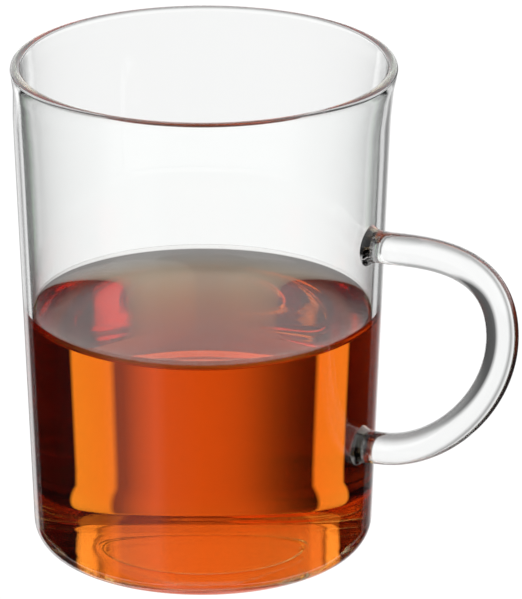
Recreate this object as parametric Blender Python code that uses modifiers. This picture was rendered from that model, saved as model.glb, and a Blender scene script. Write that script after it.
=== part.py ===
# Glass mug of black tea: a thin tapered beaker with a looped glass handle, filled to half its height.
# Units are metres, +Z is up. The origin is on the table plane under the mug's axis, the handle is at +X.

import math

import bmesh
import bpy
from mathutils import Vector

# Driving dimensions of the glass
MUG_HEIGHT = 0.1104
TOP_RADIUS = 0.0412
FOOT_RADIUS = 0.0368
WALL = 0.0020
FLOOR = 0.0020
FOOT_CORNER = 0.0065
INNER_CORNER = 0.0049
RIM_BEAD_RADIUS = 0.00115
RIM_FLARE = 0.00055
RIM_NECK = 0.0055

# Driving dimensions of the handle, a bent glass rod
ROD_RADIUS = 0.0035
WELD_RADIUS = 0.0046
WELD_LENGTH = 0.0038
ROOT_DEPTH = 0.0010
UPPER_ARM_Z = 0.0748
LOWER_ARM_Z = 0.0286
REACH = 0.0744
REACH_Z = 0.0585
UPPER_ARM_PULL = 0.0070
UPPER_BEND_PULL = 0.0195
LOWER_BEND_PULL = 0.0145
LOWER_ARM_PULL = 0.0150

# Driving dimensions of the tea
TEA_LEVEL = 0.0524
MENISCUS_SIZE = 0.0027
WALL_SLOPE = math.radians(88)
FLAT_SLOPE = math.radians(3)
FIT_GAP = 0.0003

# Fineness of the turned and swept shapes
TURN_STEPS = 72
WALL_ROWS = 9
CORNER_STEPS = 7
BEAD_STEPS = 12
MENISCUS_STEPS = 9
ROD_SIDES_QUARTER = 4
ROD_CURVE_STEPS = 14
MERGE_DISTANCE = 0.00001

# Finishes
GLASS_COLOR = (0.90, 0.93, 0.92, 1.0)
GLASS_IOR = 1.474
GLASS_ROUGHNESS = 0.03
GLASS_CLEARNESS = 1.0
TEA_COLOR = (0.62, 0.12, 0.01, 1.0)
TEA_IOR = 1.333
TEA_ROUGHNESS = 0.02
TEA_CLEARNESS = 0.8


def clear_scene():
    for old in list(bpy.data.objects):
        bpy.data.objects.remove(old, do_unlink=True)


def new_collection(name):
    collection = bpy.data.collections.new(name)
    bpy.context.scene.collection.children.link(collection)
    return collection


def clear_finish(name, color, roughness, ior, clearness):
    material = bpy.data.materials.new(name)
    material.use_nodes = True
    shader = material.node_tree.nodes["Principled BSDF"]
    shader.inputs["Base Color"].default_value = color
    shader.inputs["Roughness"].default_value = roughness
    shader.inputs["Metallic"].default_value = 0.0
    shader.inputs["IOR"].default_value = ior
    shader.inputs["Transmission Weight"].default_value = clearness
    material.diffuse_color = color
    return material


def outer_radius(z):
    """Radius of the mug's outside at height z, on its straight taper."""
    return FOOT_RADIUS + (TOP_RADIUS - FOOT_RADIUS) * z / MUG_HEIGHT


def inner_radius(z):
    return outer_radius(z) - WALL


def fillet(before, corner, after, radius, steps):
    """Points of the arc that rounds a corner of a profile."""
    back = (before - corner).normalized()
    ahead = (after - corner).normalized()
    half_angle = back.angle(ahead) / 2
    centre = corner + (back + ahead).normalized() * radius / math.sin(half_angle)
    tangent_length = radius / math.tan(half_angle)
    first = corner + back * tangent_length - centre
    last = corner + ahead * tangent_length - centre
    sweep = first.angle(last)
    points = []
    for step in range(steps + 1):
        share = step / steps
        weight_first = math.sin((1 - share) * sweep) / math.sin(sweep)
        weight_last = math.sin(share * sweep) / math.sin(sweep)
        points.append(centre + first * weight_first + last * weight_last)
    return points


def straight_run(start, end, rows):
    """Points between two ends, without the ends."""
    return [start.lerp(end, row / rows) for row in range(1, rows)]


def turned(name, profile, material, collection):
    """Turn a profile of (radius, height) points round the Z axis."""
    mesh = bpy.data.meshes.new(name)
    points = [(point.x, 0.0, point.y) for point in profile]
    edges = [(index, index + 1) for index in range(len(points) - 1)]
    mesh.from_pydata(points, edges, [])
    mesh.materials.append(material)
    piece = bpy.data.objects.new(name, mesh)
    collection.objects.link(piece)
    screw = piece.modifiers.new("turn", "SCREW")
    screw.axis = "Z"
    screw.steps = TURN_STEPS
    screw.render_steps = TURN_STEPS
    screw.use_merge_vertices = True
    screw.merge_threshold = MERGE_DISTANCE
    screw.use_smooth_shade = True
    return piece


def mug_profile():
    """From the floor's centre inside, up the inner wall, over the rim and down to the foot."""
    neck_z = MUG_HEIGHT - RIM_NECK
    floor_centre = Vector((0.0, FLOOR))
    inner_heel = Vector((inner_radius(FLOOR), FLOOR))
    inner_neck = Vector((inner_radius(neck_z), neck_z))
    outer_neck = Vector((outer_radius(neck_z), neck_z))
    outer_heel = Vector((outer_radius(0.0), 0.0))
    foot_centre = Vector((0.0, 0.0))
    bead = Vector((TOP_RADIUS + RIM_FLARE - RIM_BEAD_RADIUS, MUG_HEIGHT - RIM_BEAD_RADIUS))

    inner_corner = fillet(floor_centre, inner_heel, inner_neck, INNER_CORNER, CORNER_STEPS)
    outer_corner = fillet(outer_neck, outer_heel, foot_centre, FOOT_CORNER, CORNER_STEPS)
    rim = []
    for step in range(BEAD_STEPS + 1):
        angle = math.pi - math.pi * step / BEAD_STEPS
        rim.append(bead + Vector((math.cos(angle), math.sin(angle))) * RIM_BEAD_RADIUS)

    profile = [floor_centre]
    profile += inner_corner
    profile += straight_run(inner_corner[-1], inner_neck, WALL_ROWS)
    profile += [inner_neck]
    profile += rim
    profile += [outer_neck]
    profile += straight_run(outer_neck, outer_corner[0], WALL_ROWS)
    profile += outer_corner
    profile += [foot_centre]
    return profile


def meniscus_point(slope):
    """How far from the wall the tea's surface has this slope, and how high it has climbed there."""
    def run(angle):
        return math.log(math.tan(angle / 4)) + 2 * math.cos(angle / 2)

    from_wall = MENISCUS_SIZE * (run(WALL_SLOPE) - run(slope))
    climb = 2 * MENISCUS_SIZE * math.sin(slope / 2)
    return from_wall, climb


def tea_profile():
    """From the middle of the tea's surface, out to its edge and down along the wall to the floor."""
    top_z = TEA_LEVEL + meniscus_point(WALL_SLOPE)[1]
    bottom_z = FLOOR + FIT_GAP
    top_edge = Vector((inner_radius(top_z) - FIT_GAP, top_z))
    heel = Vector((inner_radius(bottom_z) - FIT_GAP, bottom_z))
    floor_centre = Vector((0.0, bottom_z))
    corner = fillet(top_edge, heel, floor_centre, INNER_CORNER - FIT_GAP, CORNER_STEPS)

    profile = [Vector((0.0, TEA_LEVEL))]
    for step in range(MENISCUS_STEPS):
        slope = FLAT_SLOPE * (WALL_SLOPE / FLAT_SLOPE) ** (step / MENISCUS_STEPS)
        from_wall, climb = meniscus_point(slope)
        profile.append(Vector((top_edge.x - from_wall, TEA_LEVEL + climb)))
    profile += [top_edge]
    profile += straight_run(top_edge, corner[0], WALL_ROWS // 2)
    profile += corner
    profile += [floor_centre]
    return profile


def handle_curve(material, collection):
    """The rod's centre line: two short welds on the wall and a loop between them."""
    upper_wall = outer_radius(UPPER_ARM_Z)
    lower_wall = outer_radius(LOWER_ARM_Z)
    upper_root = Vector((upper_wall - ROOT_DEPTH, 0.0, UPPER_ARM_Z))
    upper_arm = Vector((upper_wall + WELD_LENGTH, 0.0, UPPER_ARM_Z))
    outermost = Vector((REACH - ROD_RADIUS, 0.0, REACH_Z))
    lower_arm = Vector((lower_wall + WELD_LENGTH, 0.0, LOWER_ARM_Z))
    lower_root = Vector((lower_wall - ROOT_DEPTH, 0.0, LOWER_ARM_Z))
    out = Vector((1.0, 0.0, 0.0))
    up = Vector((0.0, 0.0, 1.0))
    weld_pull = WELD_LENGTH / 3
    knots = [
        (upper_root, -out * weld_pull, out * weld_pull, WELD_RADIUS),
        (upper_arm, -out * weld_pull, out * UPPER_ARM_PULL, ROD_RADIUS),
        (outermost, up * UPPER_BEND_PULL, -up * LOWER_BEND_PULL, ROD_RADIUS),
        (lower_arm, out * LOWER_ARM_PULL, -out * weld_pull, ROD_RADIUS),
        (lower_root, out * weld_pull, -out * weld_pull, WELD_RADIUS),
    ]

    curve = bpy.data.curves.new("handle_rod", "CURVE")
    curve.dimensions = "3D"
    curve.bevel_depth = ROD_RADIUS
    curve.bevel_resolution = ROD_SIDES_QUARTER
    curve.use_fill_caps = True
    curve.materials.append(material)
    spline = curve.splines.new("BEZIER")
    spline.bezier_points.add(len(knots) - 1)
    spline.resolution_u = ROD_CURVE_STEPS
    spline.radius_interpolation = "EASE"
    for point, (place, back, ahead, radius) in zip(spline.bezier_points, knots):
        point.handle_left_type = "FREE"
        point.handle_right_type = "FREE"
        point.co = place
        point.handle_left = place + back
        point.handle_right = place + ahead
        point.radius = radius / ROD_RADIUS
    rod = bpy.data.objects.new("handle_rod", curve)
    collection.objects.link(rod)
    return rod


def curve_to_mesh(rod, collection):
    """A closed mesh of the rod, its caps welded on, ready for the union."""
    bpy.context.view_layer.update()
    evaluated = rod.evaluated_get(bpy.context.evaluated_depsgraph_get())
    mesh = bpy.data.meshes.new_from_object(evaluated)
    welded = bmesh.new()
    welded.from_mesh(mesh)
    bmesh.ops.remove_doubles(welded, verts=welded.verts, dist=MERGE_DISTANCE)
    bmesh.ops.recalc_face_normals(welded, faces=welded.faces)
    welded.to_mesh(mesh)
    welded.free()
    piece = bpy.data.objects.new("handle_tool", mesh)
    piece.matrix_world = rod.matrix_world.copy()
    collection.objects.link(piece)
    piece.hide_render = True
    piece.display_type = "WIRE"
    bpy.data.objects.remove(rod, do_unlink=True)
    return piece


def build_mug(parts, tools):
    """The beaker and its handle are one piece of glass."""
    glass = clear_finish("clear_glass", GLASS_COLOR, GLASS_ROUGHNESS, GLASS_IOR, GLASS_CLEARNESS)
    mug = turned("glass_mug", mug_profile(), glass, parts)
    handle = curve_to_mesh(handle_curve(glass, tools), tools)
    join = mug.modifiers.new("fuse_handle", "BOOLEAN")
    join.operation = "UNION"
    join.solver = "EXACT"
    join.object = handle
    return mug


def build_tea(parts):
    tea = clear_finish("black_tea", TEA_COLOR, TEA_ROUGHNESS, TEA_IOR, TEA_CLEARNESS)
    return turned("tea", tea_profile(), tea, parts)


def main():
    clear_scene()
    parts = new_collection("glass_mug_of_tea")
    tools = new_collection("tools")
    build_mug(parts, tools)
    build_tea(parts)


main()
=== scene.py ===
# Clear glass mug with a looped rod handle, half full of black tea, in a bright studio
import math

import bpy
from mathutils import Matrix, Vector


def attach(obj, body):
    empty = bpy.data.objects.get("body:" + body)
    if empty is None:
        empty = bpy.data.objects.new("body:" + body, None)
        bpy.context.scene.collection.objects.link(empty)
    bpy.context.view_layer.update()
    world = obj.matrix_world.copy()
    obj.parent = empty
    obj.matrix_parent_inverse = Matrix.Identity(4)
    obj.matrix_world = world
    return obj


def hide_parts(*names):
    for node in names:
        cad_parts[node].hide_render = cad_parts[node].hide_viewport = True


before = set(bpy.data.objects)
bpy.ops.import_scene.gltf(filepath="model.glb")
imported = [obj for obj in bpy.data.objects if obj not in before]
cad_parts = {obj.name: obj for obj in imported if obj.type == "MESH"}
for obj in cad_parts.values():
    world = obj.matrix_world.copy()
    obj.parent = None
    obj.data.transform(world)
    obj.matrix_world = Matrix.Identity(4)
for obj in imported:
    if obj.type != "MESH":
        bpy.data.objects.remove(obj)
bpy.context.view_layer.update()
print("frame loaded")

mm = 0.001
mergeDistance = 0.002 * mm


# Helpers for modelling by hand

def pickNothing():
    if bpy.context.object and bpy.context.object.mode != "OBJECT":
        bpy.ops.object.mode_set(mode="OBJECT")
    bpy.ops.object.select_all(action="DESELECT")


def pickOnly(piece):
    pickNothing()
    piece.select_set(True)
    bpy.context.view_layer.objects.active = piece


def arcPoints(centre, radius, startAngle, endAngle, steps):
    points = []
    for step in range(steps + 1):
        angle = startAngle + (endAngle - startAngle) * step / steps
        points.append(centre + Vector((math.cos(angle), math.sin(angle))) * radius)
    return points


def roundCorner(before, corner, after, radius, steps):
    # arc that touches both sides of a corner
    back = (before - corner).normalized()
    ahead = (after - corner).normalized()
    halfAngle = back.angle(ahead) / 2
    centre = corner + (back + ahead).normalized() * radius / math.sin(halfAngle)
    first = corner + back * radius / math.tan(halfAngle) - centre
    last = corner + ahead * radius / math.tan(halfAngle) - centre
    startAngle = math.atan2(first.y, first.x)
    turn = first.angle_signed(last)
    return arcPoints(centre, radius, startAngle, startAngle - turn, steps)


def betweenPoints(start, end, rows):
    return [start.lerp(end, row / rows) for row in range(1, rows)]


def spinOutline(name, outline, segments):
    # a plane merged to one vertex is extruded along the outline, then spun round the axis
    pickNothing()
    bpy.ops.mesh.primitive_plane_add(size=mm, location=(0, 0, 0))
    piece = bpy.context.object
    piece.name = name
    bpy.ops.object.mode_set(mode="EDIT")
    bpy.ops.mesh.select_all(action="SELECT")
    bpy.ops.mesh.merge(type="CENTER")
    bpy.ops.transform.translate(value=(outline[0].x, 0, outline[0].y))
    for here, there in zip(outline, outline[1:]):
        step = there - here
        bpy.ops.mesh.extrude_region_move(TRANSFORM_OT_translate={"value": (step.x, 0, step.y)})
    bpy.ops.mesh.select_all(action="SELECT")
    bpy.ops.mesh.spin(steps=segments, angle=math.tau, center=(0, 0, 0), axis=(0, 0, 1))
    bpy.ops.mesh.select_all(action="SELECT")
    bpy.ops.mesh.remove_doubles(threshold=mergeDistance)
    bpy.ops.mesh.normals_make_consistent(inside=False)
    bpy.ops.object.mode_set(mode="OBJECT")
    return piece


# The mug: beaker, rim, foot and rod handle in one piece of glass

mugShape = {
    "height": 110.4 * mm,
    "topRadius": 41.2 * mm,
    "footRadius": 36.8 * mm,
    "wall": 2.0 * mm,
    "floor": 2.0 * mm,
    "footCorner": 6.5 * mm,
    "innerCorner": 4.9 * mm,
    "beadRadius": 1.15 * mm,
    "rimFlare": 0.55 * mm,
    "rimNeck": 5.5 * mm,
    "lean": 0.5 * mm,
    "leanTowards": math.radians(25),
    "leanDepth": 12.0 * mm,
    # shallow rings that the mould left under the foot: radius, width and depth
    "rings": [(26.0 * mm, 1.5 * mm, 0.12 * mm), (16.3 * mm, 1.5 * mm, 0.09 * mm)],
    "ringSteps": 10,
    "segments": 256,
    "wallRows": 16,
    "floorRows": 8,
    "neckRows": 3,
    "ringRows": 4,
    "footRows": 5,
    "cornerSteps": 14,
    "beadSteps": 22,
    "smoothAngle": math.radians(40),
}


def outsideRadius(z):
    shape = mugShape
    return shape["footRadius"] + (shape["topRadius"] - shape["footRadius"]) * z / shape["height"]


def insideRadius(z):
    return outsideRadius(z) - mugShape["wall"]


def ringPoints(radius, width, depth):
    # a ring under the foot, from its outer edge in
    steps = mugShape["ringSteps"]
    points = []
    for step in range(steps + 1):
        across = step / steps
        rise = depth * (1 - math.cos(across * math.tau)) / 2
        points.append(Vector((radius + width * (0.5 - across), rise)))
    return points


def beakerOutline():
    shape = mugShape
    neckZ = shape["height"] - shape["rimNeck"]
    floorMiddle = Vector((0, shape["floor"]))
    innerHeel = Vector((insideRadius(shape["floor"]), shape["floor"]))
    innerNeck = Vector((insideRadius(neckZ), neckZ))
    outerNeck = Vector((outsideRadius(neckZ), neckZ))
    outerHeel = Vector((outsideRadius(0), 0))
    footMiddle = Vector((0, 0))
    beadMiddle = Vector((shape["topRadius"] + shape["rimFlare"] - shape["beadRadius"],
                         shape["height"] - shape["beadRadius"]))
    inner = roundCorner(floorMiddle, innerHeel, innerNeck, shape["innerCorner"], shape["cornerSteps"])
    outer = roundCorner(outerNeck, outerHeel, footMiddle, shape["footCorner"], shape["cornerSteps"])
    bead = arcPoints(beadMiddle, shape["beadRadius"], math.pi, 0, shape["beadSteps"])
    outline = [floorMiddle]
    outline += betweenPoints(floorMiddle, inner[0], shape["floorRows"])
    outline += inner
    outline += betweenPoints(inner[-1], innerNeck, shape["wallRows"])
    outline += [innerNeck]
    outline += betweenPoints(innerNeck, bead[0], shape["neckRows"])
    outline += bead
    outline += betweenPoints(bead[-1], outerNeck, shape["neckRows"])
    outline += [outerNeck]
    outline += betweenPoints(outerNeck, outer[0], shape["wallRows"])
    outline += outer
    for radius, width, depth in shape["rings"]:
        ring = ringPoints(radius, width, depth)
        outline += betweenPoints(outline[-1], ring[0], shape["ringRows"])
        outline += ring
    outline += betweenPoints(outline[-1], footMiddle, shape["footRows"])
    outline.append(footMiddle)
    return outline


handleShape = {
    "rodRadius": 3.5 * mm,
    "upperZ": 74.8 * mm,
    "lowerZ": 28.6 * mm,
    "reach": 74.4 * mm,
    "reachZ": 58.5 * mm,
    "upperArmPull": 7.0 * mm,
    "upperBendPull": 19.5 * mm,
    "lowerBendPull": 14.5 * mm,
    "lowerArmPull": 15.0 * mm,
    # distance from the wall and radius there, where the hot rod spread as it was welded on
    "weld": [(-1.0 * mm, 4.95 * mm), (0.35 * mm, 4.25 * mm), (1.5 * mm, 3.68 * mm), (3.8 * mm, 3.5 * mm)],
    "sideSteps": 24,
    "lengthSteps": 40,
}


def rodHandle():
    shape = handleShape
    out = Vector((1, 0, 0))
    up = Vector((0, 0, 1))
    upperWall = Vector((outsideRadius(shape["upperZ"]), 0, shape["upperZ"]))
    lowerWall = Vector((outsideRadius(shape["lowerZ"]), 0, shape["lowerZ"]))
    tip = Vector((shape["reach"] - shape["rodRadius"], 0, shape["reachZ"]))
    weld = shape["weld"]
    knots = []
    for number, (distance, radius) in enumerate(weld):
        before = (distance - weld[max(number - 1, 0)][0]) / 3
        after = (weld[min(number + 1, len(weld) - 1)][0] - distance) / 3
        knots.append([upperWall + out * distance, -out * before, out * after, radius])
    knots[-1][2] = out * shape["upperArmPull"]
    knots.append([tip, up * shape["upperBendPull"], -up * shape["lowerBendPull"], shape["rodRadius"]])
    for number in range(len(weld) - 1, -1, -1):
        distance, radius = weld[number]
        before = (weld[min(number + 1, len(weld) - 1)][0] - distance) / 3
        after = (distance - weld[max(number - 1, 0)][0]) / 3
        knots.append([lowerWall + out * distance, out * before, -out * after, radius])
    knots[len(weld) + 1][1] = out * shape["lowerArmPull"]

    pickNothing()
    bpy.ops.curve.primitive_bezier_curve_add(location=(0, 0, 0))
    rod = bpy.context.object
    rod.name = "rodHandle"
    bend = rod.data
    bend.dimensions = "3D"
    bend.bevel_depth = shape["rodRadius"]
    bend.bevel_resolution = shape["sideSteps"]
    bend.use_fill_caps = True
    spline = bend.splines[0]
    spline.bezier_points.add(len(knots) - len(spline.bezier_points))
    spline.resolution_u = shape["lengthSteps"]
    spline.radius_interpolation = "CARDINAL"
    for point, (place, back, ahead, radius) in zip(spline.bezier_points, knots):
        point.handle_left_type = "FREE"
        point.handle_right_type = "FREE"
        point.co = place
        point.handle_left = place + back
        point.handle_right = place + ahead
        point.radius = radius / shape["rodRadius"]
    pickOnly(rod)
    bpy.ops.object.convert(target="MESH")
    rod = bpy.context.object
    bpy.ops.object.mode_set(mode="EDIT")
    bpy.ops.mesh.select_all(action="SELECT")
    bpy.ops.mesh.remove_doubles(threshold=mergeDistance)
    bpy.ops.mesh.normals_make_consistent(inside=False)
    bpy.ops.object.mode_set(mode="OBJECT")
    return rod


def leanRim(mug):
    # the rim is not quite true to the foot, it leans a little to one side
    pickOnly(mug)
    shape = mugShape
    bpy.ops.object.mode_set(mode="EDIT")
    bpy.ops.mesh.select_all(action="DESELECT")
    bpy.ops.object.mode_set(mode="OBJECT")
    for corner in mug.data.vertices:
        corner.select = corner.co.z > shape["height"] - 2 * shape["beadRadius"]
    bpy.ops.object.mode_set(mode="EDIT")
    lean = Vector((math.cos(shape["leanTowards"]), math.sin(shape["leanTowards"]), 0)) * shape["lean"]
    bpy.ops.transform.translate(value=lean, use_proportional_edit=True, proportional_edit_falloff="SMOOTH",
                                proportional_size=shape["leanDepth"])
    bpy.ops.object.mode_set(mode="OBJECT")


def makeMug():
    mug = spinOutline("mugGlass", beakerOutline(), mugShape["segments"])
    leanRim(mug)
    rod = rodHandle()
    pickOnly(mug)
    fuse = mug.modifiers.new("fuseHandle", "BOOLEAN")
    fuse.operation = "UNION"
    fuse.solver = "EXACT"
    fuse.object = rod
    bpy.ops.object.modifier_apply(modifier=fuse.name)
    bpy.data.objects.remove(rod, do_unlink=True)
    pickOnly(mug)
    bpy.ops.object.shade_smooth_by_angle(angle=mugShape["smoothAngle"])
    print("mug modelled:", len(mug.data.polygons), "faces")
    return mug


# The tea, up to the level shown, with the edge that climbs the wall

teaShape = {
    "level": 52.4 * mm,
    "capillary": 2.7 * mm,
    "wallSlope": math.radians(88),
    "flatSlope": math.radians(1),
    "intoWall": 0.15 * mm,
    "edgeSteps": 40,
    "wallRows": 12,
    "surfaceRows": 6,
    "bottomRows": 8,
    "cornerSteps": 14,
    "segments": 256,
    "smoothAngle": math.radians(50),
}


def edgeClimb(slope):
    # how far from the wall and how high the surface is where it has this slope
    size = teaShape["capillary"]

    def run(angle):
        return math.log(math.tan(angle / 4)) + 2 * math.cos(angle / 2)

    return size * (run(teaShape["wallSlope"]) - run(slope)), 2 * size * math.sin(slope / 2)


def teaOutline():
    shape = teaShape
    topZ = shape["level"] + edgeClimb(shape["wallSlope"])[1]
    bottomZ = mugShape["floor"] - shape["intoWall"]
    wallEdge = insideRadius(topZ)
    topEdge = Vector((wallEdge + shape["intoWall"], topZ))
    heel = Vector((insideRadius(bottomZ) + shape["intoWall"], bottomZ))
    bottomMiddle = Vector((0, bottomZ))
    corner = roundCorner(topEdge, heel, bottomMiddle, mugShape["innerCorner"] + shape["intoWall"],
                         shape["cornerSteps"])
    surfaceMiddle = Vector((0, shape["level"]))
    edge = []
    for step in range(shape["edgeSteps"] + 1):
        steeper = (shape["wallSlope"] / shape["flatSlope"]) ** (step / shape["edgeSteps"])
        slope = shape["flatSlope"] * steeper
        fromWall, climb = edgeClimb(slope)
        edge.append(Vector((wallEdge - fromWall, shape["level"] + climb)))
    outline = [surfaceMiddle]
    outline += betweenPoints(surfaceMiddle, edge[0], shape["surfaceRows"])
    outline += edge
    outline.append(topEdge)
    outline += betweenPoints(topEdge, corner[0], shape["wallRows"])
    outline += corner
    outline += betweenPoints(corner[-1], bottomMiddle, shape["bottomRows"])
    outline.append(bottomMiddle)
    return outline


def makeTea():
    tea = spinOutline("teaLiquid", teaOutline(), teaShape["segments"])
    pickOnly(tea)
    bpy.ops.object.shade_smooth_by_angle(angle=teaShape["smoothAngle"])
    print("tea modelled:", len(tea.data.polygons), "faces")
    return tea


# Finishes

glassFinish = {
    "tint": (0.985, 0.992, 0.988, 1),
    "ior": 1.474,
    "roughness": 0.0,
    "waveScale": 55.0,
    "waveStretch": 0.22,
    "waveDepth": 0.012 * mm,
    "waveDetail": 1.5,
    "waveRoughness": 0.35,
    "waveLayers": 8.0,  # how fast the ripples change from one face of the wall to the other
}

teaFinish = {
    "ior": 1.333,
    "absorbColor": (0.933, 0.5355, 0.001, 1),
    "absorbDensity": 76.0,
}


def newMaterial(name):
    material = bpy.data.materials.new(name)
    material.use_nodes = True
    nodes = material.node_tree.nodes
    return material, nodes, material.node_tree.links, nodes["Principled BSDF"]


def drawnWaves():
    # slow ripples left in blown glass, longer up the wall than round it, and other inside than outside
    finish = glassFinish
    group = bpy.data.node_groups.new("drawnWaves", "ShaderNodeTree")
    for label in ("Scale", "Stretch"):
        group.interface.new_socket(name=label, in_out="INPUT", socket_type="NodeSocketFloat")
    group.interface.new_socket(name="Height", in_out="OUTPUT", socket_type="NodeSocketFloat")
    nodes, links = group.nodes, group.links
    entry = nodes.new("NodeGroupInput")
    leave = nodes.new("NodeGroupOutput")
    place = nodes.new("ShaderNodeTexCoord")
    flat = nodes.new("ShaderNodeVectorMath")
    flat.operation = "MULTIPLY"
    flat.inputs[1].default_value = (1, 1, 0)
    links.new(place.outputs["Object"], flat.inputs[0])
    fromAxis = nodes.new("ShaderNodeVectorMath")
    fromAxis.operation = "LENGTH"
    links.new(flat.outputs["Vector"], fromAxis.inputs[0])
    layer = nodes.new("ShaderNodeMath")
    layer.operation = "MULTIPLY"
    layer.inputs[1].default_value = finish["waveLayers"]
    links.new(fromAxis.outputs["Value"], layer.inputs[0])
    combine = nodes.new("ShaderNodeCombineXYZ")
    combine.inputs["X"].default_value = 1
    combine.inputs["Y"].default_value = 1
    links.new(entry.outputs["Stretch"], combine.inputs["Z"])
    stretch = nodes.new("ShaderNodeVectorMath")
    stretch.operation = "MULTIPLY"
    links.new(place.outputs["Object"], stretch.inputs[0])
    links.new(combine.outputs["Vector"], stretch.inputs[1])
    noise = nodes.new("ShaderNodeTexNoise")
    noise.noise_dimensions = "4D"
    noise.inputs["Detail"].default_value = finish["waveDetail"]
    noise.inputs["Roughness"].default_value = finish["waveRoughness"]
    links.new(stretch.outputs["Vector"], noise.inputs["Vector"])
    links.new(layer.outputs["Value"], noise.inputs["W"])
    links.new(entry.outputs["Scale"], noise.inputs["Scale"])
    links.new(noise.outputs["Fac"], leave.inputs["Height"])
    return group


def clearGlass(waves):
    finish = glassFinish
    material, nodes, links, shader = newMaterial("clearGlass")
    shader.inputs["Base Color"].default_value = finish["tint"]
    shader.inputs["Metallic"].default_value = 0
    shader.inputs["Transmission Weight"].default_value = 1
    shader.inputs["IOR"].default_value = finish["ior"]
    shader.inputs["Roughness"].default_value = finish["roughness"]
    ripple = nodes.new("ShaderNodeGroup")
    ripple.node_tree = waves
    ripple.inputs["Scale"].default_value = finish["waveScale"]
    ripple.inputs["Stretch"].default_value = finish["waveStretch"]
    bump = nodes.new("ShaderNodeBump")
    bump.inputs["Strength"].default_value = 1
    bump.inputs["Distance"].default_value = finish["waveDepth"]
    links.new(ripple.outputs["Height"], bump.inputs["Height"])
    links.new(bump.outputs["Normal"], shader.inputs["Normal"])
    return material


def blackTea():
    finish = teaFinish
    material, nodes, links, shader = newMaterial("blackTea")
    shader.inputs["Base Color"].default_value = (1, 1, 1, 1)
    shader.inputs["Metallic"].default_value = 0
    shader.inputs["Transmission Weight"].default_value = 1
    shader.inputs["IOR"].default_value = finish["ior"]
    shader.inputs["Roughness"].default_value = 0
    brew = nodes.new("ShaderNodeVolumeAbsorption")
    brew.inputs["Color"].default_value = finish["absorbColor"]
    brew.inputs["Density"].default_value = finish["absorbDensity"]
    links.new(brew.outputs["Volume"], nodes["Material Output"].inputs["Volume"])
    return material


# Camera and studio

cameraSetup = {
    "azimuth": 25.0,
    "elevation": 20.0,
    "distance": 1.5,
    "lens": 414.5,
    "clipStart": 0.1,
    "clipEnd": 50.0,
    "lookRight": 12.75 * mm,
    "lookHeight": 56.3 * mm,
}


def placeCamera():
    setup = cameraSetup
    azimuth = math.radians(setup["azimuth"])
    elevation = math.radians(setup["elevation"])
    back = Vector((math.sin(azimuth) * math.cos(elevation),
                   -math.cos(azimuth) * math.cos(elevation),
                   math.sin(elevation)))
    right = Vector((math.cos(azimuth), math.sin(azimuth), 0))
    aim = right * setup["lookRight"] + Vector((0, 0, setup["lookHeight"]))
    lens = bpy.data.cameras.new("camera")
    lens.lens = setup["lens"]
    lens.clip_start = setup["clipStart"]
    lens.clip_end = setup["clipEnd"]
    camera = bpy.data.objects.new("camera", lens)
    bpy.context.scene.collection.objects.link(camera)
    camera.location = aim + back * setup["distance"]
    camera.rotation_euler = (-back).to_track_quat("-Z", "Y").to_euler()
    bpy.context.scene.camera = camera


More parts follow.
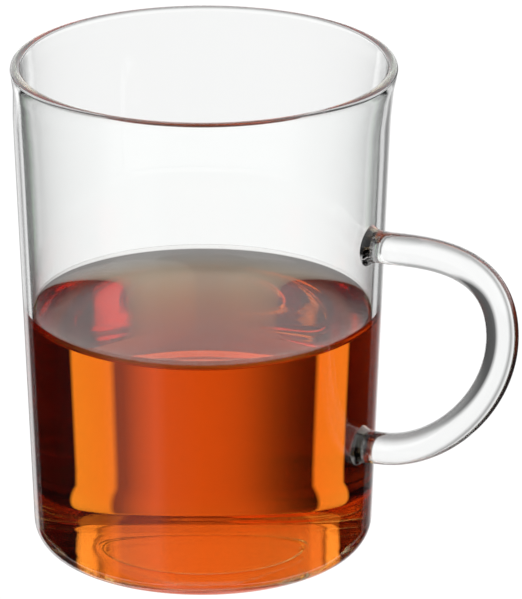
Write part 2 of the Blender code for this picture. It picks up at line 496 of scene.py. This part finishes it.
# The tent stands still round the mug, turned to the photograph's side. Its light is given by zone, from the
# bottom up: a zone reaches up to "top" degrees above the mug's middle, and each stop is degrees to the right
# of the middle of the back, then the light there.
studioSetup = {
    "tentRadius": 1.0,
    "tentHeight": 8.0,
    "tentSides": 96,
    "tableSize": 6.0,
    "brightest": 2.5,
    "backdropGlow": 1.05,
    "worldGlow": 0.35,
    # the light that takes over once a ray has crossed more faces, or been mirrored more often, than this:
    # a rod takes two crossings, clear walls four, tea in its walls six, and a way over the foot more
    "takeOver": [
        ("throughWalls", "Transmission Depth", 2),
        ("mirroredInside", "Glossy Depth", 0),
        ("trapped", "Glossy Depth", 2),
        ("throughTea", "Transmission Depth", 5),
        ("throughFoot", "Transmission Depth", 7),
    ],
    # seen straight through the rod or the rim alone
    "throughRod": {
        "floor": {"top": -40, "blur": 13, "stops": [
            (-180, 0.2), (-60, 0.35), (0, 0.38), (60, 0.3), (180, 0.2)]},
        "back": {"top": 22, "blur": 8, "stops": [
            (-180, 1.0), (-125, 1.0), (-105, 0.4), (-60, 0.25), (-44, 0.15), (-28, 1.0), (-18, 0.4),
            (-9, 1.0), (15, 1.0), (25, 0.1), (105, 0.1), (125, 1.0), (180, 1.0)]},
        "ceiling": {"top": 90, "blur": 1, "stops": [
            (-180, 0.3), (-60, 0.45), (0, 0.5), (60, 0.45), (180, 0.3)]},
    },
    # seen through both walls with only air between them
    "throughWalls": {
        "floor": {"top": -46, "blur": 6, "stops": [
            (-180, 0.02), (-75, 0.3), (0, 0.4), (75, 0.3), (180, 0.02)]},
        "back": {"top": 25, "blur": 8, "stops": [
            (-180, 1.0), (-60, 1.0), (-45, 0.7), (-34, 1.1), (-28, 1.2), (-23, 0.6), (-19.5, 0.42),
            (-18, 0.45), (-16, 0.66), (-14, 0.86), (-11, 1.0), (-4, 1.1), (0, 1.12), (4, 1.12), (8, 1.06),
            (11, 1.0), (15, 0.87), (17, 0.9), (19, 1.15), (21, 1.3), (24, 1.0), (28, 0.7), (34, 0.6),
            (45, 0.5), (60, 1.0), (180, 1.0)]},
        "ceiling": {"top": 90, "blur": 1, "stops": [(-180, 0.5), (180, 0.5)]},
    },
    # mirrored on the inside of the wall or on the tea
    "mirroredInside": {
        "middle": {"top": 0, "blur": 5, "stops": [
            (-180, 0.01), (-150, 0.1), (-124, 0.1), (-60, 0.0), (-36, 0.0), (-33, 1.2), (-30, 1.2),
            (-26, 0.5), (-22, 0.03), (-19, 0.03), (-15, 0.2), (-6, 0.1), (0, 0.1), (8, 0.05), (17, 0.02),
            (21, 0.08), (24, 0.4), (27, 1.1), (33, 0.9), (36, 0.0), (60, 0.0), (180, 0.01)]},
        "back": {"top": 25, "blur": 8, "stops": [
            (-180, 0.01), (-100, 0.02), (-70, 0.32), (-34, 0.54), (-25, 0.72), (-16, 0.9), (-10, 1.14),
            (-4, 1.3), (0, 1.36), (4, 1.3), (10, 1.14), (16, 0.9), (25, 0.72), (34, 0.54), (70, 0.32),
            (100, 0.02), (180, 0.01)]},
        "ceiling": {"top": 90, "blur": 1, "stops": [
            (-180, 0.05), (-90, 0.3), (0, 0.5), (90, 0.3), (180, 0.05)]},
    },
    # bounced along inside the wall, which evens it out
    "trapped": {
        "all": {"top": 90, "blur": 1, "stops": [(-180, 0.5), (180, 0.5)]},
    },
    # seen through the tea from wall to wall, or through its surface
    "throughTea": {
        "floor": {"top": -27, "blur": 1.5, "stops": [
            (-180, 0.1), (-60, 0.3), (-16, 0.36), (-6, 0.3), (1.5, 0.3), (2.5, 0.36), (12, 0.4), (30, 0.4),
            (60, 0.2), (180, 0.1)]},
        "back": {"top": 90, "blur": 1, "stops": [
            (-180, 1.0), (-125, 1.0), (-105, 0.0), (-33.2, 0.0), (-32.4, (1.5, 2.0, 1.5)),
            (-21.9, (1.5, 2.0, 1.5)), (-21.3, 0.05), (-19.3, 0.07), (-15.8, 0.16), (-12.5, 0.36),
            (-9.3, 0.64), (-6.3, 0.9), (-3, 1.04), (0, 1.1), (7, 1.1), (10.5, 0.72), (12.5, 0.4),
            (14.6, 0.36), (15.2, (1.5, 2.35, 1.5)), (25.4, (1.5, 2.35, 1.5)), (26.2, 0.0), (105, 0.0),
            (125, 1.0), (180, 1.0)]},
    },
    # seen through the tea by way of the foot
    "throughFoot": {
        "floor": {"top": -26, "blur": 1.5, "stops": [
            (-180, 0.1), (-60, 0.2), (0, 0.3), (60, 0.2), (180, 0.1)]},
        "low": {"top": -16, "blur": 2, "stops": [
            (-180, 0.1), (-60, 0.1), (-34, 0.3), (-20, 0.8), (0, 1.0), (20, 0.8), (34, 0.3), (60, 0.1),
            (180, 0.1)]},
        "back": {"top": 4, "blur": 3, "stops": [
            (-180, 0.1), (-158, 0.1), (-153, (1.6, 2.4, 2.4)), (-100, (1.6, 2.4, 2.4)), (-95, 0.05),
            (-60, 0.0), (-34.5, 0.0), (-33, 1.7), (-25, 1.7), (-24, 0.3), (-12, 0.7), (0, 1.0), (12, 0.9),
            (19, 0.6), (21, 1.8), (28, 1.8), (29, 0.0), (60, 0.0), (72, 0.05), (110, 0.05), (180, 0.1)]},
        "high": {"top": 90, "blur": 1, "stops": [
            (-180, 0.1), (-158, 0.1), (-153, (1.6, 2.4, 2.4)), (-100, (1.6, 2.4, 2.4)), (-95, 0.05),
            (-60, 0.0), (-33, 0.0), (-32.3, (1.9, 2.5, 1.9)), (-28, (1.9, 2.5, 1.9)), (-27.6, 0.25),
            (-26.4, 0.25), (-26, 1.4), (0, 1.42), (18, 1.4), (19, 0.3), (20.3, 0.3), (21, (1.9, 2.5, 1.9)),
            (27, (1.9, 2.5, 1.9)), (27.6, 0.0), (60, 0.0), (72, 0.05), (110, 0.05), (180, 0.1)]},
    },
    # mirrored on the outside
    "reflected": {
        "middle": {"top": 0, "blur": 6, "stops": [
            (-180, 0.02), (-158, 0.05), (-150, 0.4), (-124, 0.4), (-112, 0.03), (-60, 0.01), (-34, 0.01),
            (-31, 0.2), (-27, 1.45), (-20, 1.2), (-12, 0.5), (0, 0.5), (8, 0.8), (14, 0.9), (19, 0.45),
            (24, 0.35), (29, 0.12), (32, 0.01), (60, 0.01), (112, 0.01), (180, 0.02)]},
        "high": {"top": 90, "blur": 1, "stops": [
            (-180, 0.8), (-110, 1.8), (-40, 2.2), (0, 1.6), (40, 2.2), (110, 1.8), (180, 0.8)]},
    },
}


def lightStops(nodes, links, share, stops):
    ramp = nodes.new("ShaderNodeValToRGB")
    elements = ramp.color_ramp.elements
    while len(elements) > 1:
        elements.remove(elements[-1])
    for number, (degrees, light) in enumerate(stops):
        stop = elements[0] if number == 0 else elements.new((degrees + 180) / 360)
        stop.position = (degrees + 180) / 360
        color = light if isinstance(light, tuple) else (light, light, light)
        stop.color = tuple(part / studioSetup["brightest"] for part in color) + (1,)
    links.new(share, ramp.inputs["Fac"])
    return ramp.outputs["Color"]


def above(nodes, links, value, limit):
    compare = nodes.new("ShaderNodeMath")
    compare.operation = "GREATER_THAN"
    compare.inputs[1].default_value = limit + 0.5
    links.new(value, compare.inputs[0])
    return compare.outputs["Value"]


def pickLight(nodes, links, share, first, second):
    blend = nodes.new("ShaderNodeMix")
    blend.data_type = "RGBA"
    links.new(share, blend.inputs["Factor"])
    links.new(first, blend.inputs["A"])
    links.new(second, blend.inputs["B"])
    return blend.outputs["Result"]


def lightZones(nodes, links, share, rise, zones):
    # stack the zones, each fading into the next one up
    zones = list(zones.values())
    light = lightStops(nodes, links, share, zones[0]["stops"])
    for below, upper in zip(zones, zones[1:]):
        fade = nodes.new("ShaderNodeMapRange")
        fade.interpolation_type = "SMOOTHSTEP"
        fade.inputs["From Min"].default_value = math.radians(below["top"] - below["blur"])
        fade.inputs["From Max"].default_value = math.radians(below["top"] + below["blur"])
        links.new(rise, fade.inputs["Value"])
        upperLight = lightStops(nodes, links, share, upper["stops"])
        light = pickLight(nodes, links, fade.outputs["Result"], light, upperLight)
    return light


def tentLight():
    setup = studioSetup
    material = bpy.data.materials.new("tentLight")
    material.use_nodes = True
    nodes, links = material.node_tree.nodes, material.node_tree.links
    nodes.clear()
    place = nodes.new("ShaderNodeTexCoord")
    split = nodes.new("ShaderNodeSeparateXYZ")
    links.new(place.outputs["Object"], split.inputs["Vector"])
    around = nodes.new("ShaderNodeMath")
    around.operation = "ARCTAN2"
    links.new(split.outputs["X"], around.inputs[0])
    links.new(split.outputs["Y"], around.inputs[1])
    share = nodes.new("ShaderNodeMapRange")
    share.inputs["From Min"].default_value = -math.pi
    share.inputs["From Max"].default_value = math.pi
    links.new(around.outputs["Value"], share.inputs["Value"])
    climb = nodes.new("ShaderNodeMath")
    climb.operation = "DIVIDE"
    climb.inputs[1].default_value = setup["tentRadius"]
    links.new(split.outputs["Z"], climb.inputs[0])
    rise = nodes.new("ShaderNodeMath")
    rise.operation = "ARCTANGENT"
    links.new(climb.outputs["Value"], rise.inputs[0])
    shareOut, riseOut = share.outputs["Result"], rise.outputs["Value"]
    path = nodes.new("ShaderNodeLightPath")
    light = lightZones(nodes, links, shareOut, riseOut, setup["throughRod"])
    for name, counted, limit in setup["takeOver"]:
        more = above(nodes, links, path.outputs[counted], limit)
        zoneLight = lightZones(nodes, links, shareOut, riseOut, setup[name])
        light = pickLight(nodes, links, more, light, zoneLight)
    mirrored = lightZones(nodes, links, shareOut, riseOut, setup["reflected"])
    light = pickLight(nodes, links, path.outputs["Is Transmission Ray"], mirrored, light)
    glow = nodes.new("ShaderNodeEmission")
    glow.inputs["Strength"].default_value = setup["brightest"]
    links.new(light, glow.inputs["Color"])
    output = nodes.new("ShaderNodeOutputMaterial")
    links.new(glow.outputs["Emission"], output.inputs["Surface"])
    return material


def glowMaterial(name, strength):
    material = bpy.data.materials.new(name)
    material.use_nodes = True
    nodes, links = material.node_tree.nodes, material.node_tree.links
    nodes.clear()
    glow = nodes.new("ShaderNodeEmission")
    glow.inputs["Strength"].default_value = strength
    output = nodes.new("ShaderNodeOutputMaterial")
    links.new(glow.outputs["Emission"], output.inputs["Surface"])
    return material


def buildStudio():
    setup = studioSetup
    pickNothing()
    bpy.ops.mesh.primitive_cylinder_add(vertices=setup["tentSides"], radius=setup["tentRadius"],
                                        depth=setup["tentHeight"],
                                        end_fill_type="NOTHING",
                                        location=(0, 0, cameraSetup["lookHeight"]),
                                        rotation=(0, 0, math.radians(cameraSetup["azimuth"])))
    tent = bpy.context.object
    tent.name = "studioTent"
    tent.data.materials.append(tentLight())
    tent.visible_camera = False
    tent.visible_diffuse = False
    tent.visible_shadow = False

    bpy.ops.mesh.primitive_plane_add(size=setup["tableSize"], location=(0, 0, 0))
    table = bpy.context.object
    table.name = "paleTable"
    table.visible_transmission = False
    table.visible_glossy = False
    table.data.materials.append(glowMaterial("paleTable", setup["backdropGlow"]))

    world = bpy.data.worlds.new("studioWorld")
    bpy.context.scene.world = world
    world.use_nodes = True
    nodes, links = world.node_tree.nodes, world.node_tree.links
    sky = nodes["Background"]
    path = nodes.new("ShaderNodeLightPath")
    level = nodes.new("ShaderNodeMapRange")
    level.inputs["To Min"].default_value = setup["worldGlow"]
    level.inputs["To Max"].default_value = setup["backdropGlow"]
    links.new(path.outputs["Is Camera Ray"], level.inputs["Value"])
    sky.inputs["Color"].default_value = (1, 1, 1, 1)
    links.new(level.outputs["Result"], sky.inputs["Strength"])
    print("studio ready")


mug = makeMug()
tea = makeTea()
glass = clearGlass(drawnWaves())
brew = blackTea()
print("finishes ready")
mug.data.materials.append(glass)
tea.data.materials.append(brew)
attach(mug, "root")
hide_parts("glass_mug")
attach(tea, "root")
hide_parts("tea")

placeCamera()
buildStudio()

scene = bpy.context.scene
scene.view_settings.view_transform = "Standard"
scene.cycles.max_bounces = 160
scene.cycles.transmission_bounces = 48
scene.cycles.glossy_bounces = 128
scene.cycles.sample_clamp_indirect = 0
